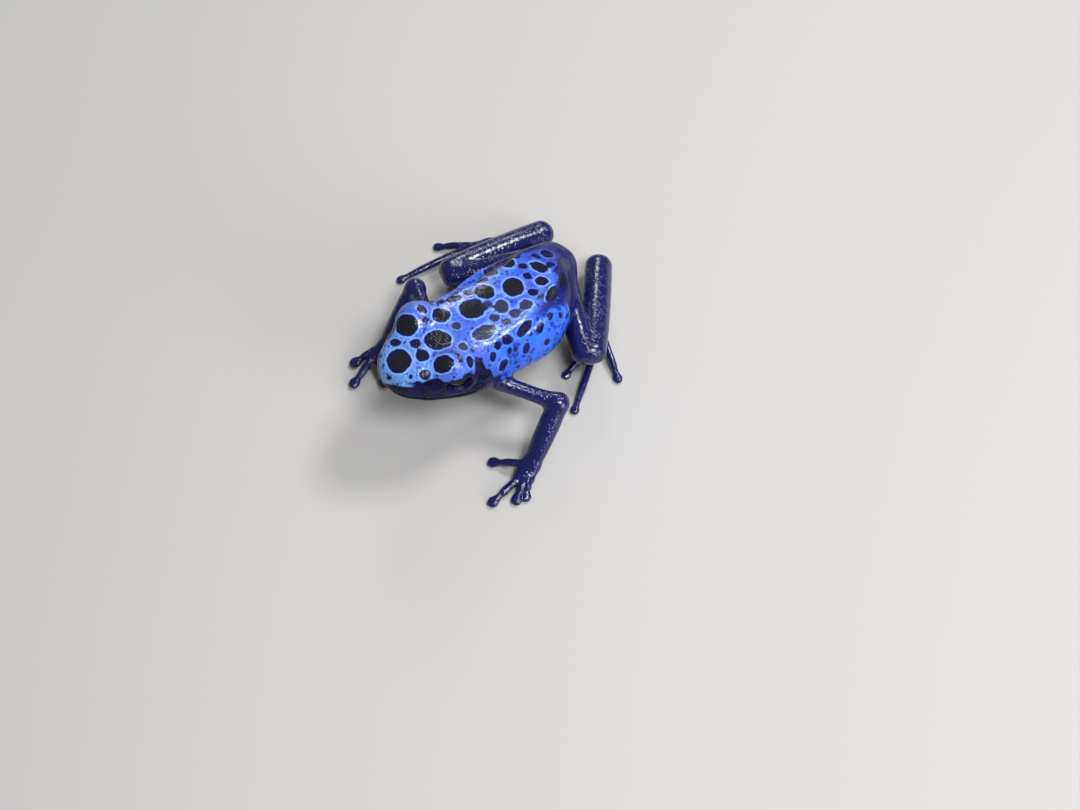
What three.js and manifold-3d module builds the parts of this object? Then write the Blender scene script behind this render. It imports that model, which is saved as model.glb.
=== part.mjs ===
// A blue poison dart frog at life size, resting with its head raised, as a still museum model.
// Millimetres, +Z up. The frog faces -Y, its left side is +X, and it rests on the plane z = 0.
// The origin is on that plane, below the middle of the box that holds the frog.
// Each named part of the body is one closed solid. Neighbours keep a gap of GAP between them.
import * as THREE from "three";
import { mergeVertices } from "three/addons/utils/BufferGeometryUtils.js";
import Module from "manifold-3d";

const wasm = await Module();
wasm.setup();

// Driving dimensions
const SNOUT_TO_VENT = 42;
const GAP = 0.3;
const NECK_AT = 13.8;
const EYE_RADIUS = 2.4;
const GROOVE_RADIUS = 0.22;
const WELD = 0.001;

const UP = new THREE.Vector3(0, 0, 1);
const SIDES = { left: 1, right: -1 };

const vec = (p) => new THREE.Vector3(p[0], p[1], p[2]);
const between = (a, b, share) => a.map((v, i) => v + (b[i] - v) * share);
const directionOf = (from, to) => vec(to).sub(vec(from)).normalize();

// Closed solids

function solid(geometry) {
  const plain = geometry.clone();
  plain.deleteAttribute("normal");
  plain.deleteAttribute("uv");
  const merged = mergeVertices(plain, WELD);
  return new wasm.Manifold(
    new wasm.Mesh({
      numProp: 3,
      vertProperties: new Float32Array(merged.attributes.position.array),
      triVerts: new Uint32Array(merged.index.array),
    }),
  );
}

function geometryOf(shape) {
  const { vertProperties, triVerts } = shape.getMesh();
  const geometry = new THREE.BufferGeometry();
  geometry.setAttribute("position", new THREE.BufferAttribute(vertProperties, 3));
  geometry.setIndex(new THREE.BufferAttribute(triVerts, 1));
  return geometry;
}

const union = (shapes) => shapes.reduce((a, b) => a.add(b));
const largest = (shape) => shape.decompose().reduce((a, b) => (b.volume() > a.volume() ? b : a));

// Slivers shut when their near points are joined, and are then dropped as scraps
const cleaned = (shape) => largest(solid(geometryOf(largest(shape))));

// A closed skin over rings of points, with a pole at each end
function skinOver(rings, firstPole, lastPole) {
  const sides = rings[0].length;
  const points = [firstPole, ...rings.flat(), lastPole];
  const faces = [];
  const at = (ring, side) => 1 + ring * sides + (side % sides);
  for (let side = 0; side < sides; side++) {
    faces.push(0, at(0, side), at(0, side + 1));
    faces.push(points.length - 1, at(rings.length - 1, side + 1), at(rings.length - 1, side));
    for (let ring = 0; ring + 1 < rings.length; ring++) {
      faces.push(at(ring, side), at(ring + 1, side + 1), at(ring, side + 1));
      faces.push(at(ring, side), at(ring + 1, side), at(ring + 1, side + 1));
    }
  }
  const geometry = new THREE.BufferGeometry().setFromPoints(points);
  geometry.setIndex(faces);
  return solid(geometry);
}

// A ball with its own radius along each axis of a basis
function ball(centre, radii, basis, around = 20, rows = 12) {
  const place = basis.clone().scale(vec(radii)).setPosition(centre);
  return solid(new THREE.SphereGeometry(1, around, rows).applyMatrix4(place));
}

// A block that fills the space ahead of a plane, and takes half the gap behind it
function blockAhead(point, normal) {
  const size = 60;
  const turn = new THREE.Quaternion().setFromUnitVectors(UP, normal.clone().normalize());
  const box = new THREE.BoxGeometry(size, size, size).translate(0, 0, size / 2 - GAP / 2);
  return solid(box.applyQuaternion(turn).translate(point.x, point.y, point.z));
}

// Tubes along a smooth path. A station is [x, y, z, half width, half height].

function frameAlong(curve, t, hint) {
  const along = curve.getTangent(t);
  const side = new THREE.Vector3().crossVectors(along, hint).normalize();
  const over = new THREE.Vector3().crossVectors(side, along);
  return { centre: curve.getPoint(t), along, side, over };
}

const smooth = (points) => new THREE.CatmullRomCurve3(points, false, "catmullrom", 0.5);

function tube(stations, { sides = 12, rings = 10, hint = UP } = {}) {
  const path = smooth(stations.map(vec));
  const sizes = smooth(stations.map((s) => vec([s[3], s[4], 0])));
  const ring = (t, ahead, shrink) => {
    const { centre, along, side, over } = frameAlong(path, t, hint);
    const size = sizes.getPoint(t);
    return Array.from({ length: sides }, (_, i) => {
      const angle = (i / sides) * 2 * Math.PI;
      return centre
        .clone()
        .addScaledVector(along, ahead)
        .addScaledVector(side, size.x * shrink * Math.cos(angle))
        .addScaledVector(over, size.y * shrink * Math.sin(angle));
    });
  };
  const reach = (t) => Math.min(sizes.getPoint(t).x, sizes.getPoint(t).y);
  const cap = (t, sign, degrees) => {
    const angle = THREE.MathUtils.degToRad(degrees);
    return ring(t, sign * reach(t) * Math.sin(angle), Math.cos(angle));
  };
  const pole = (t, sign) => path.getPoint(t).addScaledVector(path.getTangent(t), sign * reach(t));
  const middle = Array.from({ length: rings + 1 }, (_, i) => ring(i / rings, 0, 1));
  const made = [cap(0, -1, 66), cap(0, -1, 34), ...middle, cap(1, 1, 34), cap(1, 1, 66)];
  return skinOver(made, pole(0, -1), pole(1, 1));
}

// Head and trunk are one lofted body, cut apart later. A station is
// [distance from the snout, x, y, z of the axis, half width, height above the axis, depth below it].
const BODY = [
  [0, -0.7, -22.3, 16.2, 3.1, 2.3, 2.1],
  [2.5, -0.5, -19.9, 16.0, 4.2, 3.0, 2.5],
  [5, -0.2, -17.5, 15.7, 5.8, 3.8, 3.0],
  [9, 0.3, -13.7, 15.0, 7.2, 4.6, 3.6],
  [13, 0.8, -9.9, 14.1, 7.7, 4.9, 4.6],
  [17, 1.1, -6.1, 13.1, 7.5, 5.2, 5.4],
  [21.5, 1.3, -1.9, 11.9, 8.1, 5.6, 6.2],
  [26, 1.05, 2.2, 10.6, 8.25, 5.9, 6.3],
  [30.5, -0.15, 6.3, 9.2, 7.05, 5.9, 5.8],
  [35, -1.75, 10.5, 7.9, 4.8, 5.1, 4.8],
  [39, -2.35, 14.1, 6.65, 3.45, 3.9, 3.6],
  [42, -2.7, 16.7, 5.7, 2.5, 2.6, 2.35],
];
const SNOUT_ROUND = 2.6;
const VENT_ROUND = 2.6;
const BACK_SQUARENESS = 2.6;
const JAW_SQUARENESS = 3.8;
const BELLY_SQUARENESS = 2.2;

const bodyPath = smooth(BODY.map((s) => vec(s.slice(1))));
const bodySizes = smooth(BODY.map((s) => vec(s.slice(4))));

function paramAt(distance) {
  const next = Math.max(1, BODY.findIndex((s) => s[0] >= distance));
  const from = BODY[next - 1][0];
  const to = BODY[next][0];
  return (next - 1 + (distance - from) / (to - from)) / (BODY.length - 1);
}

// The share of its full size that the body has at a distance from the snout: round at both ends
function roundness(distance) {
  const dome = (d, length) => Math.sqrt(1 - (1 - Math.min(d / length, 1)) ** 2);
  return dome(distance, SNOUT_ROUND) * dome(SNOUT_TO_VENT - distance, VENT_ROUND);
}

function squarenessBelow(distance) {
  const share = THREE.MathUtils.smoothstep(distance, 10, 22);
  return THREE.MathUtils.lerp(JAW_SQUARENESS, BELLY_SQUARENESS, share);
}

// A point on the skin. The angle is 0 at the left side and 90 on the back.
function onBody(distance, degrees, grow = 0) {
  const { centre, side, over } = frameAlong(bodyPath, paramAt(distance), UP);
  const size = bodySizes.getPoint(paramAt(distance)).multiplyScalar(roundness(distance)).addScalar(grow);
  const angle = THREE.MathUtils.degToRad(degrees);
  const isAbove = Math.sin(angle) > 0;
  const power = 2 / (isAbove ? BACK_SQUARENESS : squarenessBelow(distance));
  const bend = (v) => Math.sign(v) * Math.abs(v) ** power;
  return centre
    .addScaledVector(side, size.x * bend(Math.cos(angle)))
    .addScaledVector(over, (isAbove ? size.y : size.z) * bend(Math.sin(angle)));
}

function bodyLoft(grow) {
  const rows = 36;
  const sides = 32;
  const rings = [];
  for (let i = 1; i < rows; i++) {
    const distance = (SNOUT_TO_VENT * (1 - Math.cos((Math.PI * i) / rows))) / 2;
    rings.push(Array.from({ length: sides }, (_, k) => onBody(distance, (360 * k) / sides, grow)));
  }
  const end = (t, sign) => bodyPath.getPoint(t).addScaledVector(bodyPath.getTangent(t), sign * grow);
  return skinOver(rings, end(0, -1), end(1, 1));
}

// Features of the head, placed in the frame of the axis at some distance from the snout

function headFrame(distance) {
  const frame = frameAlong(bodyPath, paramAt(distance), UP);
  return { ...frame, basis: new THREE.Matrix4().makeBasis(frame.side, frame.along, frame.over) };
}

// A frame on the skin: its first axis points straight out of the skin
function skinFrame(distance, degrees) {
  const step = 0.2;
  const centre = onBody(distance, degrees);
  const back = onBody(distance + step, degrees).sub(centre).normalize();
  const round = onBody(distance, degrees + 10 * step).sub(centre);
  const out = new THREE.Vector3().crossVectors(back, round).normalize();
  const across = new THREE.Vector3().crossVectors(out, back);
  return { centre, out, basis: new THREE.Matrix4().makeBasis(out, back, across) };
}

// The same angle on the left and the right of the body
const mirrored = (sign, degrees) => (sign > 0 ? degrees : 180 - degrees);

const EYE = { distance: 9.2, out: 4.85, over: 2.0, turn: 16 };
const LID = { thickness: 0.4, inward: 0.2, width: 3.0, length: 3.3, height: 2.95, lift: 0.65 };
const OPENING = { out: 2.9, over: -0.35, width: 1.7, length: 2.1, height: 1.75 };
const NOSTRIL = { distance: 1.7, degrees: 40, radius: 0.32 };
const EARDRUM = { distance: 12.1, degrees: 8, radius: 0.85, rim: 0.2, depth: 0.3 };
const MOUTH = { corner: 11.6, dropAtSnout: 0.9, dropAtCorner: 1.5 };

// The eye looks out sideways and a little forward
function eyeFrame(sign) {
  const { centre, side, along, over } = headFrame(EYE.distance);
  const turn = THREE.MathUtils.degToRad(EYE.turn);
  const look = side.clone().multiplyScalar(sign * Math.cos(turn)).addScaledVector(along, -Math.sin(turn));
  const back = new THREE.Vector3().crossVectors(over, look);
  const basis = new THREE.Matrix4().makeBasis(look, back, over);
  centre.addScaledVector(side, sign * EYE.out).addScaledVector(over, EYE.over);
  return { centre, basis, at: (out, up) => centre.clone().addScaledVector(look, out).addScaledVector(over, up) };
}

function eyeBall(sign, radius, around, rows) {
  const { centre, basis } = eyeFrame(sign);
  return ball(centre, [radius, radius, radius], basis, around, rows);
}

// Both lids hug the ball of the eye, and the upper one swells above it
function lids(sign) {
  const { basis, at } = eyeFrame(sign);
  const brow = ball(at(-LID.inward, LID.lift), [LID.width, LID.length, LID.height], basis, 20, 14);
  return eyeBall(sign, EYE_RADIUS + GAP + LID.thickness, 20, 14).add(brow);
}

function eyeSocket(sign) {
  const { basis, at } = eyeFrame(sign);
  const opening = ball(at(OPENING.out, OPENING.over), [OPENING.width, OPENING.length, OPENING.height], basis, 18, 10);
  return eyeBall(sign, EYE_RADIUS + GAP, 20, 12).add(opening);
}

function nostril(sign) {
  const { centre, basis } = skinFrame(NOSTRIL.distance, mirrored(sign, NOSTRIL.degrees));
  return ball(centre, [NOSTRIL.radius, NOSTRIL.radius, NOSTRIL.radius], basis, 10, 8);
}

function eardrum(sign) {
  const { centre, out, basis } = skinFrame(EARDRUM.distance, mirrored(sign, EARDRUM.degrees));
  const ring = new THREE.TorusGeometry(EARDRUM.radius, EARDRUM.rim, 6, 16).rotateY(Math.PI / 2);
  const rim = solid(ring.applyMatrix4(basis.clone().setPosition(centre.clone().addScaledVector(out, -0.05))));
  const dish = ball(centre, [EARDRUM.depth, EARDRUM.radius, EARDRUM.radius], basis, 16, 8);
  return { rim, dish };
}

// A point on the line of the mouth, which runs at its own depth below the axis of the head
function mouthPoint(distance, sign) {
  const { centre, side, over } = headFrame(distance);
  const drop = THREE.MathUtils.mapLinear(distance, 0, MOUTH.corner, MOUTH.dropAtSnout, MOUTH.dropAtCorner);
  const size = bodySizes.getPoint(paramAt(distance)).multiplyScalar(roundness(distance));
  const squareness = squarenessBelow(distance);
  const share = Math.max(0, 1 - (drop / size.z) ** squareness) ** (1 / squareness);
  return centre.addScaledVector(side, sign * size.x * share).addScaledVector(over, -drop);
}

// The groove between the lips, from one corner of the mouth round the snout to the other
function mouthGroove() {
  const count = 12;
  const start = SNOUT_ROUND * (1 - Math.sqrt(1 - (MOUTH.dropAtSnout / BODY[0][6]) ** 2));
  const half = (sign) =>
    Array.from({ length: count }, (_, i) =>
      mouthPoint(start + (MOUTH.corner - start) * (i / (count - 1)) ** 2, sign));
  const line = [...half(-1).reverse(), ...half(1).slice(1)];
  return tube(line.map((p) => [p.x, p.y, p.z, GROOVE_RADIUS, GROOVE_RADIUS]), { sides: 6, rings: 34 });
}

function wholeBody() {
  const drums = Object.values(SIDES).map(eardrum);
  const signs = Object.values(SIDES);
  return union([bodyLoft(0), ...signs.map(lids), ...drums.map((d) => d.rim)])
    .subtract(union([...signs.map(eyeSocket), ...signs.map(nostril), ...drums.map((d) => d.dish)]))
    .subtract(mouthGroove());
}

// Limbs: positions of the joints, then the half width and half height of each bone's flesh
const LIMBS = {
  left_arm: {
    shoulder: [5.0, -9.3, 10.2],
    elbow: [15.9, -3.1, 7.8],
    wrist: [18.1, -10.9, 1.9],
    knuckles: [18.8, -13.5, 1.1],
    tips: [[12.8, -14.7], [18.2, -19.6], [20.7, -16.8], [21.3, -15.3]],
  },
  right_arm: {
    shoulder: [-4.5, -8.9, 10.4],
    elbow: [-14.0, -4.6, 7.5],
    wrist: [-12.0, -12.9, 1.9],
    knuckles: [-12.2, -14.9, 1.1],
    tips: [[-8.0, -14.1], [-7.6, -17.1], [-11.2, -20.8], [-14.2, -18.3]],
  },
  left_leg: {
    hip: [0.1, 13.1, 7.6],
    knee: [12.0, 7.0, 6.3],
    heel: [0.7, 20.4, 3.3],
    instep: [9.8, 11.3, 1.3],
    tips: [[7.2, 9.9], [8.7, 7.6], [10.2, 3.6], [15.7, 0.3], [16.6, 9.2]],
  },
  right_leg: {
    hip: [-4.2, 13.7, 7.4],
    knee: [-12.6, 1.9, 6.3],
    heel: [-10.0, 18.3, 3.3],
    instep: [-17.2, 7.9, 1.3],
    tips: [[-13.9, 6.7], [-13.4, 4.3], [-13.9, 2.2], [-20.6, -2.8], [-21.4, 5.7]],
  },
};
const UPPER_ARM = [[0, 1.7, 1.7], [0.35, 1.25, 1.3], [0.7, 1.15, 1.2], [1, 1.5, 1.45]];
const FOREARM = [[0, 1.45, 1.4], [0.3, 1.65, 1.6], [0.7, 1.6, 1.45], [1, 1.4, 1.0]];
const PALM = [[0, 1.4, 1.0], [0.6, 1.6, 0.9], [1, 1.45, 0.75]];
const THIGH = [[0, 2.1, 2.5], [0.3, 1.95, 2.3], [0.65, 1.95, 2.1], [1, 1.9, 1.95]];
const SHANK = [[0, 1.95, 1.9], [0.3, 2.2, 2.1], [0.7, 2.25, 2.1], [1, 2.15, 1.95]];
const TARSUS = [[0, 1.5, 1.4], [0.5, 1.15, 1.05], [1, 1.1, 0.95]];
const INSTEP = [[0, 1.1, 0.95], [0.6, 1.25, 0.85], [1, 1.2, 0.75]];
const ANKLE_SHARE = 0.66;
const KNEE_ASIDE = 0.75;
const FINGER = { thick: 0.6, disc: 0.88, spread: 0.65, first: 0.2, others: 0.85 };
const TOE = { thick: 0.55, disc: 0.75, spread: 0.4, first: 0.6, others: 0.75 };
const TIP_HEIGHT = 0.36;

function bone(from, to, sizes, options) {
  return tube(sizes.map(([share, width, height]) => [...between(from, to, share), width, height]), options);
}

// The direction across the bend where two bones meet: a plane facing it halves the bend
function bisector(before, joint, after) {
  return directionOf(before, joint).add(directionOf(joint, after)).normalize();
}

function digit(root, [tipX, tipY], { thick, disc }) {
  const tip = [tipX, tipY, TIP_HEIGHT];
  const length = vec(root).distanceTo(vec(tip));
  const discShare = Math.min(disc / length, 0.22);
  const neck = 1 - 2.2 * discShare;
  const station = (share, lift, width, height) => {
    const [x, y, z] = between(root, tip, share);
    return [x, y, z + lift, width, height];
  };
  const stations = [
    station(0, 0, thick * 1.2, thick),
    station(0.4 * neck, 0.25, thick, thick),
    station(0.75 * neck, 0.2, thick * 1.05, thick * 0.95),
    station(neck, 0.05, thick * 0.85, thick * 0.85),
    station(1 - discShare, 0, disc, thick * 0.85),
    station(1 - 0.4 * discShare, 0, disc * 0.85, thick * 0.8),
  ];
  return tube(stations, { sides: 8, rings: 8 });
}

// Digits side by side from the inner edge of the palm or sole to the outer one. The first starts further back.
function digits(from, to, tips, sign, kind) {
  const across = new THREE.Vector3().crossVectors(UP, directionOf(from, to)).normalize();
  return tips.map((tip, i) => {
    const aside = sign * kind.spread * (i - (tips.length - 1) / 2);
    const root = vec(between(from, to, i === 0 ? kind.first : kind.others)).addScaledVector(across, aside);
    return digit(root.toArray(), tip, kind);
  });
}

const trimmed = (shape, joint, direction) => shape.subtract(blockAhead(vec(joint), direction));

function armParts({ shoulder, elbow, wrist, knuckles, tips }, sign, bodyRoom) {
  const atElbow = bisector(shoulder, elbow, wrist);
  const atWrist = bisector(elbow, wrist, knuckles);
  const forward = new THREE.Vector3(0, -1, 0.5);
  const forearm = trimmed(bone(elbow, wrist, FOREARM, { hint: forward }), elbow, atElbow.clone().negate());
  const palm = trimmed(bone(wrist, knuckles, PALM, { rings: 6 }), wrist, atWrist.clone().negate());
  return {
    upper_arm: trimmed(bone(shoulder, elbow, UPPER_ARM).subtract(bodyRoom), elbow, atElbow),
    forearm: trimmed(forearm, wrist, atWrist),
    hand: union([palm, ...digits(wrist, knuckles, tips, sign, FINGER)]),
  };
}

// Thigh and shank end side by side at the knee, so an upright plane parts them
function legParts({ hip, knee, heel, instep, tips }, sign, bodyRoom) {
  const atKnee = bisector(hip, knee, heel).setZ(0).normalize();
  const aside = atKnee.toArray().map((v) => v * KNEE_ASIDE);
  const thighEnd = knee.map((v, i) => v - aside[i]);
  const shankStart = knee.map((v, i) => v + aside[i]);
  const atHeel = bisector(knee, heel, instep);
  const ankle = between(heel, instep, ANKLE_SHARE);
  const onward = directionOf(heel, instep);
  const shank = trimmed(bone(shankStart, heel, SHANK, { sides: 14 }), knee, atKnee.clone().negate());
  const tarsus = trimmed(bone(heel, ankle, TARSUS, { rings: 8 }), heel, atHeel.clone().negate());
  const sole = trimmed(bone(ankle, instep, INSTEP, { rings: 6 }), ankle, onward.clone().negate());
  return {
    thigh: trimmed(bone(hip, thighEnd, THIGH, { sides: 14 }).subtract(bodyRoom), knee, atKnee),
    shank: trimmed(shank, heel, atHeel).subtract(bodyRoom),
    tarsus: trimmed(tarsus, ankle, onward),
    foot: union([sole, ...digits(ankle, instep, tips, sign, TOE)]),
  };
}

// All the parts, by name

function allParts() {
  const body = wholeBody();
  const bodyRoom = bodyLoft(GAP);
  const neck = headFrame(NECK_AT);
  const parts = {
    head: trimmed(body, neck.centre.toArray(), neck.along),
    torso: trimmed(body, neck.centre.toArray(), neck.along.clone().negate()),
  };
  for (const [side, sign] of Object.entries(SIDES)) {
    parts[`${side}_eye`] = eyeBall(sign, EYE_RADIUS, 18, 12);
    const arm = armParts(LIMBS[`${side}_arm`], sign, bodyRoom);
    const leg = legParts(LIMBS[`${side}_leg`], sign, bodyRoom);
    for (const [name, shape] of Object.entries({ ...arm, ...leg })) parts[`${side}_${name}`] = shape;
  }
  return parts;
}

// Colour and roughness of each part
const LOOKS = {
  head: [0x7fb0ec, 0.35],
  torso: [0x4577dd, 0.35],
  eye: [0x0d0b10, 0.08],
  limb: [0x262c6e, 0.3],
};

function material(name) {
  const kind = name.replace("left_", "").replace("right_", "");
  const [color, roughness] = LOOKS[kind] ?? LOOKS.limb;
  return new THREE.MeshStandardMaterial({ color, roughness, metalness: 0 });
}

const underFloor = solid(new THREE.BoxGeometry(120, 120, 20).translate(0, 0, -10));
const frog = new THREE.Group();
for (const [name, shape] of Object.entries(allParts())) {
  const part = new THREE.Mesh(geometryOf(cleaned(shape.subtract(underFloor))), material(name));
  part.name = name;
  frog.add(part);
}

export default frog;
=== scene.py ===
"""A blue poison dart frog at life size, sitting with its head raised, in plain studio light.

Its whole skin is one mesh: the solids of head, trunk and limbs are lofted again, finer, from the same
sizes, and joined as fields of distances, so that each runs smoothly into the next. Sizes are in
millimetres until a mesh is made. The frog faces -Y and its left side is +X.
"""

import bpy
import numpy as np
import openvdb as vdb
from mathutils import Matrix, Vector
from mathutils.bvhtree import BVHTree


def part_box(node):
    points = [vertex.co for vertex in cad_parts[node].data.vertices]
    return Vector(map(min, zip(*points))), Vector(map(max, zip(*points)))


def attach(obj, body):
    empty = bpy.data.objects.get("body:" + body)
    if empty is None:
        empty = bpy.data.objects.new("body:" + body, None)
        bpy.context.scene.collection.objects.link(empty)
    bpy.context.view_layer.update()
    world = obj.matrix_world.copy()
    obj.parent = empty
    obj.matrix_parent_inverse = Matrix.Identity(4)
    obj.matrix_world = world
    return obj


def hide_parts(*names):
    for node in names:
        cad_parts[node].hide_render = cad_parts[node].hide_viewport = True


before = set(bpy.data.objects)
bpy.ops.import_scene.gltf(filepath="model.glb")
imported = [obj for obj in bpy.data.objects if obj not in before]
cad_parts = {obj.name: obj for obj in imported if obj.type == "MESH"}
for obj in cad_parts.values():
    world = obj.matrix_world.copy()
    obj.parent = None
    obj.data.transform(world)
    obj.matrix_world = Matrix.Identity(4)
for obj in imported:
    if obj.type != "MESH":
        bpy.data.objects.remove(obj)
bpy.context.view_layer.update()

MM = 0.001

# The grid of distances
STEP = 0.12
BAND = 1.2
SKIN_TRIANGLES = 190000

# The body. A station is [distance from the snout, x, y, z of the axis, half width, rise, depth below it]
SNOUT_TO_VENT = 42
HALF_WIDTH = 7
BODY = np.array([
    [0, -0.7, -22.3, 16.2, 3.1, 2.3, 2.1],
    [2.5, -0.5, -19.9, 16.0, 4.2, 3.0, 2.5],
    [5, -0.2, -17.5, 15.7, 5.8, 3.8, 3.0],
    [9, 0.3, -13.7, 15.0, 7.2, 4.6, 3.6],
    [13, 0.8, -9.9, 14.1, 7.7, 4.9, 4.6],
    [17, 1.1, -6.1, 13.1, 7.5, 5.2, 5.4],
    [21.5, 1.3, -1.9, 11.9, 8.1, 5.6, 6.2],
    [26, 1.05, 2.2, 10.6, 8.25, 5.9, 6.3],
    [30.5, -0.15, 6.3, 9.2, 7.05, 5.9, 5.8],
    [35, -1.75, 10.5, 7.9, 4.8, 5.1, 4.8],
    [39, -2.35, 14.1, 6.65, 3.45, 3.9, 3.6],
    [42, -2.7, 16.7, 5.7, 2.5, 2.6, 2.35],
])
AXIS_STEPS = 400
SNOUT_ROUND = 2.6
VENT_ROUND = 2.6
BACK_SQUARENESS = 2.6
JAW_SQUARENESS = 3.8
BELLY_SQUARENESS = 2.2
JAW_TO_BELLY = [10, 22]

# The limbs: the places of the joints, then the half width and half height along each bone
LIMBS = {
    "left_arm": {
        "shoulder": [5.0, -9.3, 10.2],
        "elbow": [15.9, -3.1, 7.8],
        "wrist": [18.1, -10.9, 1.9],
        "knuckles": [18.8, -13.5, 1.1],
        "tips": [[12.8, -14.7], [18.2, -19.6], [20.7, -16.8], [21.3, -15.3]],
    },
    "right_arm": {
        "shoulder": [-4.5, -8.9, 10.4],
        "elbow": [-14.0, -4.6, 7.5],
        "wrist": [-12.0, -12.9, 1.9],
        "knuckles": [-12.2, -14.9, 1.1],
        "tips": [[-8.0, -14.1], [-7.6, -17.1], [-11.2, -20.8], [-14.2, -18.3]],
    },
    "left_leg": {
        "hip": [0.1, 13.1, 7.6],
        "knee": [12.0, 7.0, 6.3],
        "heel": [0.7, 20.4, 3.3],
        "instep": [9.8, 11.3, 1.3],
        "tips": [[7.2, 9.9], [8.7, 7.6], [10.2, 3.6], [15.7, 0.3], [16.6, 9.2]],
    },
    "right_leg": {
        "hip": [-4.2, 13.7, 7.4],
        "knee": [-12.6, 1.9, 6.3],
        "heel": [-10.0, 18.3, 3.3],
        "instep": [-17.2, 7.9, 1.3],
        "tips": [[-13.9, 6.7], [-13.4, 4.3], [-13.9, 2.2], [-20.6, -2.8], [-21.4, 5.7]],
    },
}
UPPER_ARM = [[0, 1.7, 1.7], [0.35, 1.25, 1.3], [0.7, 1.15, 1.2], [1, 1.5, 1.45]]
FOREARM = [[0, 1.45, 1.4], [0.3, 1.65, 1.6], [0.7, 1.6, 1.45], [1, 1.4, 1.0]]
PALM = [[0, 1.4, 1.0], [0.6, 1.6, 0.9], [1, 1.45, 0.75]]
THIGH = [[0, 2.1, 2.5], [0.3, 1.95, 2.3], [0.65, 1.95, 2.1], [1, 1.9, 1.95]]
SHANK = [[0, 1.95, 1.9], [0.3, 2.2, 2.1], [0.7, 2.25, 2.1], [1, 2.15, 1.95]]
TARSUS = [[0, 1.5, 1.4], [0.5, 1.15, 1.05], [1, 1.1, 0.95]]
INSTEP = [[0, 1.1, 0.95], [0.6, 1.25, 0.85], [1, 1.2, 0.75]]
ANKLE_SHARE = 0.66
KNEE_ASIDE = 0.75
FOREARM_FACES = np.array([0, -1, 0.5])

# A finger or toe up to its disc: [share of the way, rise, width, height]
DIGIT_BONE = [[0, 0, 1.2, 1], [0.4, 0.25, 1, 1], [0.75, 0.2, 1.05, 0.95], [1, 0.05, 0.85, 0.85]]

# Its disc: [way back from the tip, width, height]
DIGIT_DISC = [[1, 1, 0.85], [0.4, 0.85, 0.8]]
DISC_SHARE = 0.22
DISC_START = 2.2
FINGER = {"thick": 0.6, "disc": 0.88, "spread": 0.65, "first": 0.2, "others": 0.85}
TOE = {"thick": 0.55, "disc": 0.75, "spread": 0.4, "first": 0.6, "others": 0.75}
TIP_HEIGHT = 0.36

# The head
EYE = {"distance": 9.2, "out": 4.85, "over": 2.0, "turn": 16}
LID = {"inward": 0.2, "width": 3.0, "length": 3.3, "height": 2.95, "lift": 0.65, "round": 3.05}
OPENING = {"out": 2.9, "over": -0.35, "width": 1.7, "length": 2.1, "height": 1.75}
NOSTRIL = {"distance": 1.7, "degrees": 40, "radius": 0.32}
EARDRUM = {"distance": 12.1, "degrees": 8, "radius": 0.85, "depth": 0.28}
MOUTH = {"corner": 11.6, "drop_at_snout": 0.9, "drop_at_corner": 1.5, "groove": 0.2}
PUPIL = {"length": 0.5, "height": 0.36, "edge": [0.97, 1.05]}
IRIS = {"rim": [52, 60], "roughness": 0.05, "shine": 0.3}

# The ridge on each side of the back: [distance from the snout, degrees above the side]
RIDGE = np.array([[11, 45], [16, 38], [19, 42], [22, 47], [25, 53], [29, 56], [32, 60], [38, 64]])
RIDGE_FOLD = {"height": 0.26, "spread": 8, "from": [11, 15], "to": [33, 37]}
GROOVE_FOLD = {"height": -0.45, "spread": 7, "below": 10, "from": [16, 20], "to": [30, 34]}
FOLD_WAVES = {"size": 3, "degrees": 1.5}
FOLD_FADE = [0.1, 0.5]

# Fillets where one part runs into the next, and how far from a bend or a root they reach
FILLET = {
    "joint": 0.9,
    "root": 1.3,
    "digit": 0.45,
    "lid": 0.9,
    "opening": 0.3,
    "socket": 0.05,
    "nostril": 0.1,
    "eardrum": 0.15,
    "mouth": 0.15,
    "contact": 0.12,
}
BEND_REACH = {"arm": 3, "leg": 2}
ROOT_REACH = {"arm": 6, "leg": 5}

# The camera, where the photograph's was
CAMERA_AT = np.array([127.66, -114.87, 281.0])
CAMERA_RIGHT = np.array([0.695, 0.719, 0.0])
CAMERA_BACK = np.array([0.3597, -0.3473, 0.8660])
LENS = 71.1
SENSOR = 36
PHOTO_WIDTH = 1080
PHOTO_HEIGHT = 810

# The spots as seen in the photograph, in its pixels: [x, y, half width, half height, degrees of turn]
BOLD_SPOTS = [
    [399, 361, 12, 12.3, 0],
    [438, 340, 13.6, 10.3, 0],
    [406.5, 325.3, 11.5, 11.2, 0],
    [443, 364, 10.7, 8.7, -20],
    [472, 309, 13, 10.3, 5],
    [441, 315.3, 9.4, 7.6, 5],
    [484.8, 291.8, 10.3, 7.4, 0],
    [513.3, 287, 10.6, 10.3, 0],
    [491, 272.7, 8.2, 5.7, 25],
    [508, 263, 6.4, 6, 0],
    [539.3, 267, 9.5, 5, 25],
    [541.6, 281, 6.6, 4.7, 0],
    [547, 253.8, 6.3, 4.3, 15],
    [422.5, 355.5, 6.9, 5.6, 0],
    [415, 343.2, 5.4, 4.5, 0],
    [395.2, 342.5, 5.1, 3.9, 0],
    [524.4, 328.6, 11.5, 4.8, -48],
    [507.5, 339.5, 5.6, 5, 0],
    [497.5, 345.7, 4, 4.8, -15],
    [503.5, 365.3, 4, 7.3, 18],
    [425, 374.6, 5.6, 5.2, 0],
    [552, 293.5, 11, 5.2, -50],
    [564, 281, 5.5, 11, -10],
]
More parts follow.
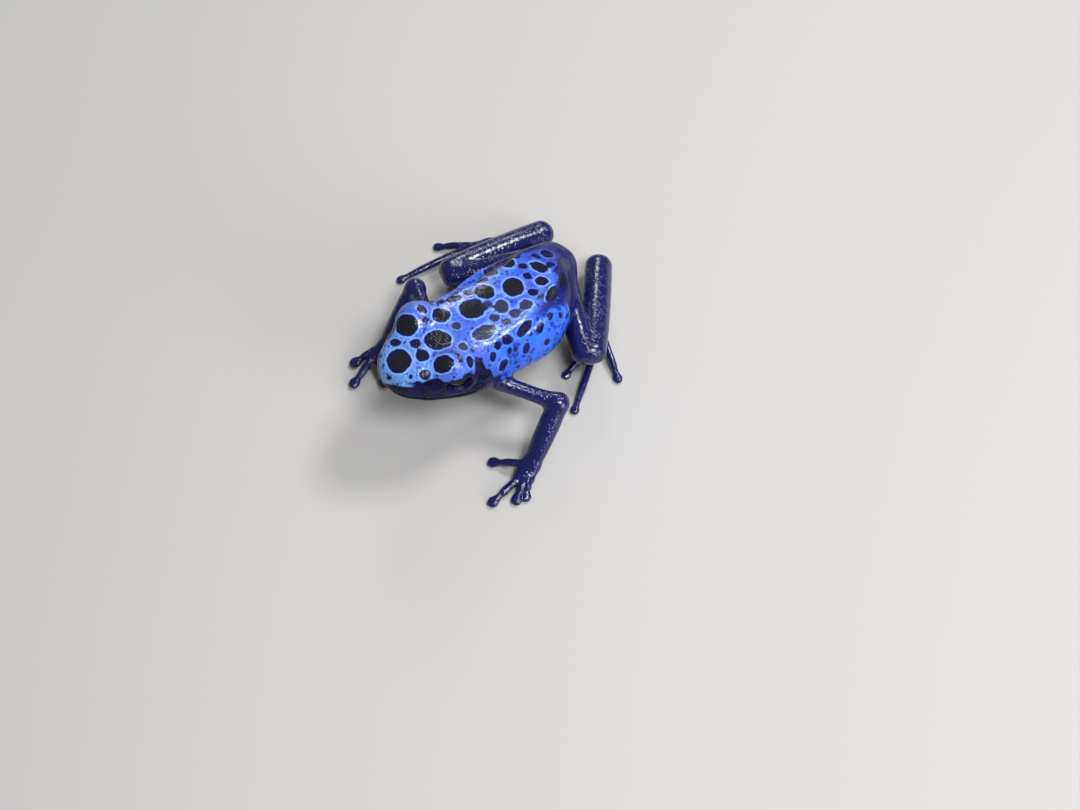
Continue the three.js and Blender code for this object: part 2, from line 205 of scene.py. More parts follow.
SMALL_SPOTS = [
    [421.8, 309, 6, 3.6, 40],
    [425.3, 319.5, 3.5, 3, 0],
    [431, 303.6, 2.7, 2, 0],
    [440, 302, 3.8, 2.5, 0],
    [453, 298.8, 7.7, 3.4, -12],
    [467.6, 292.5, 5.4, 3, 5],
    [481, 280.3, 7, 2.5, -8],
    [522.3, 266.3, 4.7, 3.1, 0],
    [527.2, 275.8, 4.3, 3.7, 15],
    [533.2, 292.3, 4.8, 3.8, 0],
    [550.4, 264.6, 3.7, 3.1, 0],
    [516.3, 256, 4, 2.6, 25],
    [535, 255.6, 5, 1.8, 10],
    [559.3, 250.5, 3, 2.7, 30],
    [510, 350.5, 3.1, 3.3, 0],
    [492.8, 357, 3, 4.8, 0],
    [526.3, 348.6, 3.4, 5.3, 18],
    [540, 327.5, 3.5, 6, 12],
    [550.4, 315.9, 2.7, 4.2, 5],
    [546.9, 342, 3.1, 4.2, 25],
    [516.8, 349.6, 1.8, 2.7, 10],
    [560, 315.1, 1.5, 2.8, 0],
    [566.6, 315.9, 2, 3, 10],
    [559, 326, 1.7, 1.6, 0],
    [530.7, 333.6, 1.6, 2.4, 20],
    [518.8, 366.2, 1.5, 2.4, 10],
    [531.3, 359.3, 1.3, 1.5, 0],
    [470, 361.5, 3.6, 5.6, -12],
    [459.6, 358.3, 2, 3.4, -30],
    [454, 351.9, 2.8, 1.6, 10],
    [411, 377, 1.8, 2.6, 0],
    [418.4, 383.5, 3.6, 2, 0],
    [389, 378, 2, 1.6, 0],
]
# Spots that are black in life, lightened here by a painted sheen
SHEEN_SPOTS = [
    [501.5, 306.4, 6.8, 7.5, 0],
    [525.9, 304.4, 6.6, 5, 0],
    [515, 313.2, 5.2, 4.8, 0],
    [494, 317.6, 5.2, 4.1, 0],
    [506, 321.5, 4.9, 3.5, 0],
    [484, 332.3, 13, 7, -25],
    [463, 346.6, 5.3, 5, 0],
    [565.8, 263.6, 6.5, 6, 0],
    [456.5, 326, 5, 3.6, -25],
    [487.6, 303.9, 3.4, 2.3, 20],
    [472.4, 350.4, 2, 2.3, 0],
]
SPOT_DEPTH = 1.8
SPOT_MARGIN = 2
FAR = 9.0
BLUE_TO_BLACK = [3, 6.5]

# Spots where the photograph shows no skin
SCATTER = {
    "seed": 7,
    "tries": 2500,
    "least": 0.3,
    "most": 1.35,
    "rarity": 2.2,
    "apart": 0.38,
    "stretch": [0.8, 1.25],
    "blue_to_black": [0.4, 0.9],
    "above_edge": 0.6,
    "off_trunk": 0.2,
    "from_snout": 5,
}
SEEN = {"within": 0.6, "facing": 0.2}

# Waves that make an edge uneven
WAVES = {"seed": 3, "count": 16, "sizes": [0.7, 1.5]}

# The edge between bright and dark skin: [distance from the snout, degrees above the side]
BRIGHT_EDGE = [
    [0, 34], [1.2, 22], [4, 28], [8, 26], [10.8, 30], [12, 35], [12.9, 31], [13.3, 20], [14.3, 14],
    [14.6, 2], [15.8, -6], [16.2, -18], [17.6, -27], [20, -38], [25, -38], [26.4, -30], [26.8, -16],
    [27.6, -6], [28.1, 12], [28.6, 30], [28.9, 44], [29.6, 53], [31.6, 60], [34, 68], [36.5, 77], [39, 88],
    [42, 100],
]
EDGE_WAVES = {"size": 2.5, "reach": 0.35}
LIMB_EDGE = {"off_trunk": 0.3, "steepness": 3}
DARK_RANGE = [-3, 3]

# Zones of the skin: where each starts and ends, in millimetres from the snout or degrees above the side
BACK_ZONE = {"degrees": [50, 66], "distance": [8, 13]}
FACE_ZONE = {"degrees": [26, 44], "distance": [13, 16]}
FLANK_ZONE = {"degrees": [38, 50], "distance": [13, 17]}
RUMP_ZONE = [31, 37.5]
HIP_ZONE = {"off_trunk": [0.3, 1.1], "distance": [26, 30]}
LIMB_ZONE = [0.2, 0.6]
PALE_ZONES = [[0.8, [1, 9]], [0.2, [9, 24]]]
# A painted sheen: a pale band of blue along the ridge, where a highlight falls
PAINTED_RIDGE_SHEEN = {"share": 0.35, "off_ridge": [[-2, 3], [6, 20]], "distance": [[12, 16], [28, 32]]}
# Painted shade: the groove below the ridge is darkened to the rump's navy, and its halos fade
GROOVE_SHADE = {
    "lower_edge": [-17, -11],
    "upper_edge": [-6, -1],
    "widens": [25, 29],
    "by": 16,
    "distance": [[22, 26], [33, 36]],
}
DRY = {"back": 1, "face": 1, "flank": 0.6, "hips": 0.85}
FLANK_FADES = {"halo": 0.7, "black": 0.8}

# Edges in the paint: from where it starts to where it is full, in millimetres outside a spot or bright skin
SPOT_EDGE = [0.15, -0.03]
SPOT_CORE = [-0.1, -0.5]
SPOT_DULL = [-0.1, 0.1, 0.5, 1.0]
HALO_EDGE = [0.48, 0.12]
DARK_EDGE = [-0.2, 0.3]

# Noise that moves an edge: [size, detail, reach]
SPOT_WANDER = [1.1, 2, 0.55]
DARK_WANDER = [2.4, 4, 2.6]

# Patches of noise: [size, detail, noise at the start, noise at the end, value before, value after]
CLOUDS = [2.6, 2, 0.35, 0.7, 0, 0.25]
MOTTLES = [0.45, 3, 0.56, 0.66, 0, 0.6]
SPECKLES = [1.6, 4, 0.56, 0.72, 0, 0.6]
FACE_PATCHES = [0.9, 4, 0.4, 0.66, 0, 0.8]
ROUGHNESS = [0.8, 3, 0.35, 0.65, 0.12, 0.22]
IRIS_PATCHES = [0.25, 4, 0.4, 0.65, 0, 1]

# Flecks, grains and gloss of the skin
FLECKS = {"size": 0.95, "edge": [0.32, 0.2], "wander": 1.5, "more_on_flank": 0.1, "share": 0.85}
HALO_SHARE = 0.7
# How far the painted sheen lightens those spots
SHEEN_SHARE = 0.7
GRAIN = {"size": 0.5, "round": 0.6, "depth": 0.055}
FINE_GRAIN = {"size": 0.22, "detail": 3, "depth": 0.02}
WET_TO_DRY = [0.5, 0.08]
COAT = {"share": 0.4, "roughness": 0.12}

# Colours
PALE = (0.16, 0.36, 0.82)
BACK = (0.05, 0.11, 0.68)
FLANK = (0.03, 0.16, 0.92)
RUMP = (0.012, 0.015, 0.12)
HALO = (0.27, 0.47, 1.0)
FLECK = (0.008, 0.018, 0.24)
NAVY = (0.008, 0.009, 0.085)
FACE = (0.003, 0.003, 0.014)
SPOT_BLACK = (0.012, 0.012, 0.018)
SPOT_BLUE = (0.005, 0.008, 0.07)
# The colour of the painted sheen on some spots
SPOT_SHEEN = (0.04, 0.05, 0.11)
PUPIL_BLACK = (0.001, 0.001, 0.001)
IRIS_DARK = (0.006, 0.004, 0.004)
IRIS_BROWN = (0.02, 0.012, 0.008)
EYE_RIM = (0.004, 0.004, 0.008)
FLOOR_GREY = (0.5, 0.49, 0.48)
FLOOR_ROUGHNESS = 0.8
WORLD_WHITE = (0.9, 0.94, 1.0, 1)

# Lights: [direction, width, power]. The highlights of the photograph show where they stand
LIGHT_DISTANCE = 0.5
LIGHTS = {
    "key": [(0.45, -0.05, 0.89), 0.16, 1.65],
    "back": [(0.05, 0.56, 0.83), 0.12, 1.2],
    "rim": [(-0.6, 0.58, 0.55), 0.12, 0.4],
    "side": [(0.9, 0.1, 0.42), 0.25, 1.0],
}
WORLD_STRENGTH = 0.17
FLOOR_REACH = 1500

UP = np.array([0.0, 0.0, 1.0])


# Curves and frames

def spline(points, t):
    """The smooth curve through the points, at each t from 0 to 1."""
    points = np.asarray(points, float)
    padded = np.vstack([2 * points[0] - points[1], points, 2 * points[-1] - points[-2]])
    place = np.clip(np.asarray(t, float), 0, 1) * (len(points) - 1)
    i = np.minimum(place.astype(int), len(points) - 2)
    w = (place - i)[..., None]
    before, start, end, after = (padded[i + k] for k in range(4))
    leaving = (end - before) / 2
    arriving = (after - start) / 2
    return (
        (2 * w**3 - 3 * w**2 + 1) * start
        + (w**3 - 2 * w**2 + w) * leaving
        + (3 * w**2 - 2 * w**3) * end
        + (w**3 - w**2) * arriving
    )


def unit(v):
    return v / np.linalg.norm(v, axis=-1, keepdims=True)


def frames(path, t, hint=UP):
    """Centres, and the directions along, to the side of and over the path, at each t."""
    t = np.asarray(t, float)
    ahead = 1e-4
    along = unit(spline(path, np.minimum(t + ahead, 1)) - spline(path, np.maximum(t - ahead, 0)))
    side = unit(np.cross(along, hint))
    return spline(path, t), along, side, np.cross(side, along)


def smoothstep(v, low, high):
    share = np.clip((v - low) / (high - low), 0, 1)
    return share * share * (3 - 2 * share)


def between(a, b, share):
    return np.asarray(a, float) + (np.asarray(b, float) - a) * share


# Closed lofts, as points and triangles

def skin_over(rings, first_pole, last_pole):
    count, sides = len(rings), len(rings[0])
    points = np.vstack([[first_pole], np.reshape(rings, (-1, 3)), [last_pole]])
    here = 1 + np.arange(count * sides).reshape(count, sides)
    after = np.roll(here, -1, axis=1)
    corners = [
        np.stack([here[:-1], here[1:], after[1:]], -1).reshape(-1, 3),
        np.stack([here[:-1], after[1:], after[:-1]], -1).reshape(-1, 3),
        np.stack([np.zeros(sides, int), here[0], after[0]], -1),
        np.stack([np.full(sides, len(points) - 1), after[-1], here[-1]], -1),
    ]
    return points, np.vstack(corners)


def tube(stations, hint=UP, sides=32, rings=40):
    """A tube with round ends. A station is [x, y, z, half width, half height]."""
    stations = np.asarray(stations, float)
    t = np.linspace(0, 1, rings + 1)
    centre, along, side, over = frames(stations[:, :3], t, hint)
    size = spline(np.c_[stations[:, 3:], np.zeros(len(stations))], t)
    angle = np.linspace(0, 2 * np.pi, sides, endpoint=False)[:, None]

    def ring(i, ahead=0.0, shrink=1.0):
        across = side[i] * size[i, 0] * np.cos(angle) + over[i] * size[i, 1] * np.sin(angle)
        return centre[i] + along[i] * ahead + across * shrink

    def cap(i, sign):
        reach = min(size[i, :2])
        turns = np.radians([75, 60, 45, 30, 15])
        return [ring(i, sign * reach * np.sin(a), np.cos(a)) for a in turns]

    def pole(i, sign):
        return centre[i] + along[i] * sign * min(size[i, :2])

    middle = [ring(i) for i in range(rings + 1)]
    return skin_over([*cap(0, -1), *middle, *cap(rings, 1)[::-1]], pole(0, -1), pole(rings, 1))


def param_at(distance):
    """Where the body's curve is at a distance from the snout, as a share of its stations."""
    return np.interp(distance, BODY[:, 0], np.linspace(0, 1, len(BODY)))


def roundness(distance):
    """The share of its full size that the body has there: it is round at both ends."""
    def dome(d, length):
        return np.sqrt(1 - (1 - np.clip(d / length, 0, 1)) ** 2)

    return dome(distance, SNOUT_ROUND) * dome(SNOUT_TO_VENT - distance, VENT_ROUND)


def squareness_below(distance):
    share = smoothstep(distance, *JAW_TO_BELLY)
    return JAW_SQUARENESS + (BELLY_SQUARENESS - JAW_SQUARENESS) * share


def on_body(distance, degrees):
    """A point on the body. The angle is 0 at the left side and 90 on the back."""
    distance, degrees = np.broadcast_arrays(np.asarray(distance, float), np.asarray(degrees, float))
    t = param_at(distance)
    centre, _, side, over = frames(BODY[:, 1:4], t)
    size = spline(BODY[:, 4:7], t) * roundness(distance)[..., None]
    cos, sin = np.cos(np.radians(degrees)), np.sin(np.radians(degrees))
    power = 2 / np.where(sin > 0, BACK_SQUARENESS, squareness_below(distance))
    height = np.where(sin > 0, size[..., 1], size[..., 2])
    out = size[..., 0] * np.sign(cos) * np.abs(cos) ** power
    up = height * np.sign(sin) * np.abs(sin) ** power
    return centre + side * out[..., None] + over * up[..., None]


def body_loft(rows=150, sides=144):
    distance = SNOUT_TO_VENT * (1 - np.cos(np.pi * np.arange(1, rows) / rows)) / 2
    degrees = np.arange(sides) * 360 / sides
    rings = on_body(distance[:, None], degrees[None, :])
    ends = spline(BODY[:, 1:4], [0, 1])
    return skin_over(rings, ends[0], ends[1])


# Fields of distances on blocks of one grid

class Block:
    """Distances to a surface, in millimetres and below 0 inside it, on a block of the grid."""

    def __init__(self, low, values):
        self.low = np.asarray(low)
        self.values = values

    @classmethod
    def empty(cls, low, high):
        low = np.floor(np.asarray(low) / STEP).astype(int)
        high = np.ceil(np.asarray(high) / STEP).astype(int)
        return cls(low, np.full(high - low + 1, BAND, np.float32))

    @classmethod
    def of(cls, loft):
        """The distances to a closed loft."""
        points, triangles = loft
        grid = vdb.FloatGrid.createLevelSetFromPolygons(
            points.astype(np.float32),
            triangles=triangles.astype(np.uint32),
            transform=vdb.createLinearTransform(STEP),
            halfWidth=BAND / STEP,
        )
        low, high = grid.evalActiveVoxelBoundingBox()
        values = np.empty(np.array(high) - low + 1, np.float32)
        grid.copyToArray(values, ijk=low)
        return cls(low, values)

    def window(self, other):
        """The part of this block that another one covers, and that part of the other."""
        start = np.maximum(self.low, other.low)
        end = np.minimum(self.low + self.values.shape, other.low + other.values.shape)
        mine = tuple(slice(a, b) for a, b in zip(start - self.low, end - self.low))
        its = tuple(slice(a, b) for a, b in zip(start - other.low, end - other.low))
        return mine, its, start, end

    def add(self, other, fillet, near=None, reach=1.0):
        """Joins another block to this one. The fillet fades to a crease past reach from a point."""
        mine, its, start, end = self.window(other)
        a, b = self.values[mine], other.values[its]
        if near is not None:
            x, y, z = (np.arange(s, e) * STEP for s, e in zip(start, end))
            away = np.sqrt(
                (x - near[0])[:, None, None] ** 2
                + (y - near[1])[None, :, None] ** 2
                + (z - near[2])[None, None, :] ** 2
            ).astype(np.float32)
            fade = smoothstep(away, reach, 2 * reach)
            fillet = fillet + (FILLET["contact"] - fillet) * fade
        overlap = np.maximum(fillet - np.abs(a - b), 0) / fillet
        self.values[mine] = np.minimum(a, b) - overlap**2 * fillet / 4

    def cut(self, other, fillet):
        """Takes another block out of this one."""
        mine, its, _, _ = self.window(other)
        a, b = self.values[mine], -other.values[its]
        overlap = np.maximum(fillet - np.abs(a - b), 0) / fillet
        self.values[mine] = np.maximum(a, b) + overlap**2 * fillet / 4

    def at(self, points):
        """The distances at some points, worked out between those of the grid."""
        last = np.array(self.values.shape) - 1.001
        place = np.clip(points / STEP - self.low, 0, last)
        cell = place.astype(int)
        share = place - cell
        total = np.zeros(len(points))
        for corner in np.ndindex(2, 2, 2):
            weight = np.prod(np.where(corner, share, 1 - share), axis=1)
            total += weight * self.values[tuple((cell + corner).T)]
        return total

    def copy(self):
        return Block(self.low, self.values.copy())

    def stand_on_floor(self):
        z = (self.low[2] + np.arange(self.values.shape[2])) * STEP
        self.values = np.maximum(self.values, -z.astype(np.float32))

    def surface(self):
        """The points and quads of the surface."""
        grid = vdb.FloatGrid(BAND)
        values = np.clip(self.values, -BAND, BAND)
        grid.copyFromArray(values, ijk=tuple(int(v) for v in self.low), tolerance=0)
        grid.transform = vdb.createLinearTransform(STEP)
        points, _, quads = grid.convertToPolygons(isovalue=0, adaptivity=0)
        return points, quads


def joined(blocks, margin=0.5):
    """One empty block that holds all the given ones."""
    low = np.min([b.low for b in blocks], axis=0) * STEP - margin
    high = np.max([b.low + b.values.shape for b in blocks], axis=0) * STEP + margin
    return Block.empty(low, high)


# The head

def head_frame(distance):
    centre, along, side, over = frames(BODY[:, 1:4], np.array([param_at(distance)]))
    return centre[0], along[0], side[0], over[0]


def eye_frame(sign):
    """Centre of the eye, and the directions it looks, back and up. It looks out and a little ahead."""
    centre, along, side, over = head_frame(EYE["distance"])
    turn = np.radians(EYE["turn"])
    look = sign * side * np.cos(turn) - along * np.sin(turn)
    centre = centre + sign * side * EYE["out"] + over * EYE["over"]
    return centre, look, np.cross(over, look), over


def ball(centre, radii, axes, sides=48, rows=32):
    """An ellipsoid with a radius along each of three axes."""
    axes = np.asarray(axes)
    turn = np.linspace(0, 2 * np.pi, sides, endpoint=False)
    rings = []
    for fall in np.pi * np.arange(1, rows) / rows:
        ring = np.c_[np.sin(fall) * np.cos(turn), np.sin(fall) * np.sin(turn), np.full(sides, np.cos(fall))]
        rings.append(centre + (ring * radii) @ axes)
    pole = axes[2] * radii[2]
    return skin_over(rings, centre + pole, centre - pole)


def mouth_point(distance, sign):
    centre, _, side, over = head_frame(distance)
    share = distance / MOUTH["corner"]
    drop = MOUTH["drop_at_snout"] + (MOUTH["drop_at_corner"] - MOUTH["drop_at_snout"]) * share
    width, _, depth = spline(BODY[:, 4:7], param_at(distance)) * roundness(distance)
    square = squareness_below(distance)
    out = max(0.0, 1 - (drop / depth) ** square) ** (1 / square)
    return centre + side * sign * width * out - over * drop


def mouth_groove():
    start = SNOUT_ROUND * (1 - np.sqrt(1 - (MOUTH["drop_at_snout"] / BODY[0, 6]) ** 2))
    places = start + (MOUTH["corner"] - start) * np.linspace(0, 1, 14) ** 2
    right = [mouth_point(d, -1) for d in places[::-1]]
    left = [mouth_point(d, 1) for d in places[1:]]
    line = np.array(right + left)
    radius = np.full((len(line), 2), MOUTH["groove"])
    return tube(np.c_[line, radius], sides=12, rings=160)


def skin_frame(distance, degrees):
    """A point on the body, and the directions out of it, back and across."""
    step = 0.2
    centre = on_body(distance, degrees)
    back = unit(on_body(distance + step, degrees) - centre)
    out = unit(np.cross(back, on_body(distance, degrees + 10 * step) - centre))
    return centre, out, back, np.cross(out, back)


def mirrored(sign, degrees):
    return degrees if sign > 0 else 180 - degrees


def shape_head(body):
    """Adds the lids to the body, and cuts the sockets, the nostrils, the eardrums and the mouth."""
    for sign in (1, -1):
        centre, look, back, up = eye_frame(sign)
        axes = [look, back, up]
        brow = centre - look * LID["inward"] + up * LID["lift"]
        lids = Block.of(ball(centre, [LID["round"]] * 3, axes))
        room = joined([lids], margin=1.5)
        room.add(lids, FILLET["contact"])
        room.add(Block.of(ball(brow, [LID["width"], LID["length"], LID["height"]], axes)), FILLET["lid"])
        body.add(room, FILLET["lid"])
    for sign in (1, -1):
        centre, look, back, up = eye_frame(sign)
        axes = [look, back, up]
        opening = centre + look * OPENING["out"] + up * OPENING["over"]
        slit = [OPENING["width"], OPENING["length"], OPENING["height"]]
        body.cut(Block.of(ball(opening, slit, axes)), FILLET["opening"])
        body.cut(Block.of(ball(centre, [eye_radius()] * 3, axes)), FILLET["socket"])
        at, *axes = skin_frame(NOSTRIL["distance"], mirrored(sign, NOSTRIL["degrees"]))
        body.cut(Block.of(ball(at, [NOSTRIL["radius"]] * 3, axes)), FILLET["nostril"])
        at, *axes = skin_frame(EARDRUM["distance"], mirrored(sign, EARDRUM["degrees"]))
        dish = [EARDRUM["depth"], EARDRUM["radius"], EARDRUM["radius"]]
        body.cut(Block.of(ball(at, dish, axes)), FILLET["eardrum"])
    body.cut(Block.of(mouth_groove()), FILLET["mouth"])


def eye_radius():
    low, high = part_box("left_eye")
    return max(high - low) / 2 / MM


# The limbs

def bone(start, end, sizes, hint=UP):
    stations = [[*between(start, end, share), width, height] for share, width, height in sizes]
    return Block.of(tube(stations, hint))


def digit(root, tip, kind):
    """A finger or toe. The widths and heights of its stations are shares of its thickness or its disc."""
    tip = np.array([*tip, TIP_HEIGHT])
    thick, disc = kind["thick"], kind["disc"]
    disc_share = min(disc / np.linalg.norm(tip - root), DISC_SHARE)
    neck = 1 - DISC_START * disc_share
    stations = []
    for share, rise, width, height in DIGIT_BONE:
        place = between(root, tip, share * neck) + [0, 0, rise]
        stations.append([*place, thick * width, thick * height])
    for share, width, height in DIGIT_DISC:
        place = between(root, tip, 1 - share * disc_share)
        stations.append([*place, disc * width, thick * height])
    return Block.of(tube(stations, sides=24, rings=36))


def digits(start, end, tips, sign, kind):
    """Digits side by side, from the inner one on. The first starts further back on the palm or sole."""
    start, end = np.asarray(start, float), np.asarray(end, float)
    across = unit(np.cross(UP, end - start)) * sign * kind["spread"]
    made = []
    for i, tip in enumerate(tips):
        along = between(start, end, kind["others"] if i else kind["first"])
        made.append(digit(along + across * (i - (len(tips) - 1) / 2), tip, kind))
    return made


def with_digits(palm, fingers):
    """A palm or sole with its digits, each with its own root and clear of the next one."""
    whole = joined([palm, *fingers])
    for finger in fingers:
        whole.add(finger, FILLET["contact"])
    whole.add(palm, FILLET["digit"])
    return whole


def arm(shoulder, elbow, wrist, knuckles, tips, sign):
    palm = bone(wrist, knuckles, PALM)
    hand = with_digits(palm, digits(wrist, knuckles, tips, sign, FINGER))
    upper_arm = bone(shoulder, elbow, UPPER_ARM)
    forearm = bone(elbow, wrist, FOREARM, FOREARM_FACES)
    whole = joined([hand, upper_arm, forearm])
    whole.add(upper_arm, FILLET["joint"])
    whole.add(forearm, FILLET["joint"], near=elbow, reach=BEND_REACH["arm"])
    whole.add(hand, FILLET["joint"], near=wrist, reach=BEND_REACH["arm"])
    return whole


def leg(hip, knee, heel, instep, tips, sign):
    ankle = between(heel, instep, ANKLE_SHARE)
    foot = with_digits(bone(ankle, instep, INSTEP), digits(ankle, instep, tips, sign, TOE))
    hip, knee, heel = (np.array(p, float) for p in (hip, knee, heel))
    aside = (unit(knee - hip) + unit(heel - knee)) * [1, 1, 0]
    aside = unit(aside) * KNEE_ASIDE
    thigh = bone(hip, knee - aside, THIGH)
    shank = bone(knee + aside, heel, SHANK)
    tarsus = bone(heel, ankle, TARSUS)
    whole = joined([foot, thigh, shank, tarsus])
    whole.add(thigh, FILLET["joint"])
    whole.add(shank, FILLET["joint"], near=knee, reach=BEND_REACH["leg"])
    whole.add(tarsus, FILLET["joint"], near=heel, reach=BEND_REACH["leg"])
    whole.add(foot, FILLET["joint"], near=ankle, reach=BEND_REACH["leg"])
    return whole


def skin_field():
    """The whole frog, and its head and trunk alone."""
    body = Block.of(body_loft())
    limbs = []
    for side, sign in (("left", 1), ("right", -1)):
        places = LIMBS[side + "_arm"]
        limbs.append((arm(**places, sign=sign), places["shoulder"], ROOT_REACH["arm"]))
        places = LIMBS[side + "_leg"]
        limbs.append((leg(**places, sign=sign), places["hip"], ROOT_REACH["leg"]))
    whole = joined([body, *(limb for limb, _, _ in limbs)])
    whole.add(body, FILLET["contact"])
    shape_head(whole)
    trunk = whole.copy()
    for limb, root, reach in limbs:
        whole.add(limb, FILLET["root"], near=root, reach=reach)
    whole.stand_on_floor()
    return whole, trunk


# Meshes

def mesh_object(name, points, faces):
    mesh = bpy.data.meshes.new(name)
    mesh.from_pydata((points * MM).tolist(), [], faces.tolist())
    mesh.shade_smooth()
    made = bpy.data.objects.new(name, mesh)
    bpy.context.scene.collection.objects.link(made)
    return made


def points_of(piece):
    flat = np.empty(len(piece.data.vertices) * 3, np.float32)
    piece.data.vertices.foreach_get("co", flat)
    return flat.reshape(-1, 3) / MM


def normals_of(piece):
    flat = np.empty(len(piece.data.vertices) * 3, np.float32)
    piece.data.vertices.foreach_get("normal", flat)
    return flat.reshape(-1, 3)


def relax(points, quads, passes, amount=0.5):
    """Moves each point towards the middle of its neighbours."""
    edges = np.vstack([quads[:, [0, 1]], quads[:, [1, 2]], quads[:, [2, 3]], quads[:, [3, 0]]])
    count = np.bincount(edges.ravel(), minlength=len(points))
    for _ in range(passes):
        total = np.zeros_like(points)
        for axis in range(3):
            total[:, axis] = np.bincount(edges[:, 0], points[edges[:, 1], axis], len(points))
            total[:, axis] += np.bincount(edges[:, 1], points[edges[:, 0], axis], len(points))
        points = points + amount * (total / count[:, None] - points)
    return points


def apply_modifiers(piece):
    bpy.context.view_layer.update()
    graph = bpy.context.evaluated_depsgraph_get()
    done = bpy.data.meshes.new_from_object(piece.evaluated_get(graph))
    piece.modifiers.clear()
    piece.data = done


def ripple(points, size):
    """Smooth waves from about -1 to 1, with crests about as far apart as the given size."""
    random = np.random.default_rng(WAVES["seed"])
    count = WAVES["count"]
    ways = unit(random.normal(size=(count, 3))) * 2 * np.pi
    ways = ways / (size * random.uniform(*WAVES["sizes"], (count, 1)))
    starts = random.uniform(0, 2 * np.pi, count)
    return np.sin(points @ ways.T + starts).sum(axis=1) / np.sqrt(count)


def window(v, start, end):
    """Rises from 0 to 1 over the start, and falls back to 0 over the end."""
    return smoothstep(v, *start) * (1 - smoothstep(v, *end))


def above_ridge(distance, degrees):
    return degrees - np.interp(distance, RIDGE[:, 0], RIDGE[:, 1])


def add_folds(skin, trunk):
    """Raises the ridges along the back, and sinks the grooves below them."""
    points = points_of(skin)
    distance, degrees = place_on_body(points)
    off_ridge = above_ridge(distance, degrees) + FOLD_WAVES["degrees"] * ripple(points, FOLD_WAVES["size"])
    height = 0
    for fold in (RIDGE_FOLD, GROOVE_FOLD):
        across = (off_ridge + fold.get("below", 0)) / fold["spread"]
        height = height + fold["height"] * np.exp(-across**2) * window(distance, fold["from"], fold["to"])
    height = height * (1 - smoothstep(trunk.at(points), *FOLD_FADE))
    moved = points + normals_of(skin) * height[:, None]
    skin.data.vertices.foreach_set("co", (moved * MM).astype(np.float32).ravel())
    skin.data.update()


def make_skin():
    whole, trunk = skin_field()
    points, quads = whole.surface()
    points = relax(points.astype(float), quads.astype(int), 2)
    skin = mesh_object("skin", points, quads)
    thin = skin.modifiers.new("thin", "DECIMATE")
    thin.ratio = SKIN_TRIANGLES / (2 * len(quads))
    apply_modifiers(skin)
    add_folds(skin, trunk)
    return skin, trunk


def make_eye(side, sign):
    centre, look, back, up = eye_frame(sign)
    points, triangles = ball(centre, [eye_radius()] * 3, [up, back, look], sides=96, rows=64)
    eye = mesh_object(side + "_eyeball", points, triangles)
    away = (points - centre) / eye_radius()
    across = np.hypot((away @ back) / PUPIL["length"], (away @ up) / PUPIL["height"])
    store(eye, "pupil", np.where(away @ look > 0, across, 2 * PUPIL["edge"][1]))
    store(eye, "iris", np.degrees(np.arccos(np.clip(away @ look, -1, 1))))
    return eye


# Markings, as numbers kept at the points of the skin

def store(piece, name, values):
    values = np.asarray(values, np.float32)
    if values.ndim == 1:
        piece.data.attributes.new(name, "FLOAT", "POINT").data.foreach_set("value", values)
    else:
        colours = np.c_[values, np.ones(len(values), np.float32)].ravel()
        piece.data.attributes.new(name, "FLOAT_COLOR", "POINT").data.foreach_set("color", colours)


def camera_axes():
    """The camera's directions to the right, up and back."""
    back = unit(CAMERA_BACK)
    right = unit(CAMERA_RIGHT - back * (CAMERA_RIGHT @ back))
    return right, np.cross(back, right), back


def first_hit(tree, start, direction):
    """The place in millimetres where a ray meets the skin."""
    hit, _, _, _ = tree.ray_cast(Vector(start * MM), Vector(direction))
    return np.array(hit) / MM


def oval(centre, first, second, through, tone, sheen=0.0):
    """A spot with two half axes and a way through the skin, along which its edge runs."""
    size = np.sqrt(np.linalg.norm(first) * np.linalg.norm(second))
    return {
        "centre": centre,
        "size": size,
        "axes": np.stack([first, second, through * SPOT_DEPTH * size]),
        "tone": tone,
        "sheen": sheen,
    }


def spot_in_photo(tree, spot, sheen):
    x, y, half_width, half_height, turn = spot
    right, up, back = camera_axes()
    focal = LENS / SENSOR * PHOTO_WIDTH
    ray = unit(right * (x - PHOTO_WIDTH / 2) + up * (PHOTO_HEIGHT / 2 - y) - back * focal)
    centre = first_hit(tree, CAMERA_AT, ray)
    scale = (CAMERA_AT - centre) @ back / focal
    cos, sin = np.cos(np.radians(turn)), np.sin(np.radians(turn))
    first = (right * cos - up * sin) * half_width * scale
    second = (-right * sin - up * cos) * half_height * scale
    tone = smoothstep((half_width + half_height) / 2, *BLUE_TO_BLACK)
    return oval(centre, first, second, ray, tone, sheen)


def is_seen(tree, point):
    """Whether the photograph shows this place, and not at a grazing angle."""
    ray = Vector(point - CAMERA_AT).normalized()
    hit, normal, _, _ = tree.ray_cast(Vector(CAMERA_AT * MM), ray)
    if hit is None or (hit / MM - Vector(point)).length >= SEEN["within"]:
        return False
    return normal.dot(ray) < -SEEN["facing"]


def scattered_spots(tree, points, normals, allowed, known):
    """Spots over the skin that the photograph doesn't show, clear of each other."""
    random = np.random.default_rng(SCATTER["seed"])
    places = [s["centre"] for s in known]
    sizes = [s["size"] for s in known]
    made = []
    for i in random.choice(np.flatnonzero(allowed), SCATTER["tries"], replace=False):
        size = between(SCATTER["least"], SCATTER["most"], random.random() ** SCATTER["rarity"])
        away = np.linalg.norm(np.array(places) - points[i], axis=1)
        if (away < np.array(sizes) + size + SCATTER["apart"]).any() or is_seen(tree, points[i]):
            continue
        stretch = random.uniform(*SCATTER["stretch"])
        first = unit(np.cross(normals[i], unit(random.normal(size=3))))
        second = np.cross(normals[i], first)
        tone = smoothstep(size, *SCATTER["blue_to_black"])
        made.append(oval(points[i], first * size * stretch, second * size / stretch, normals[i], tone))
        places.append(points[i])
        sizes.append(size)
    return made


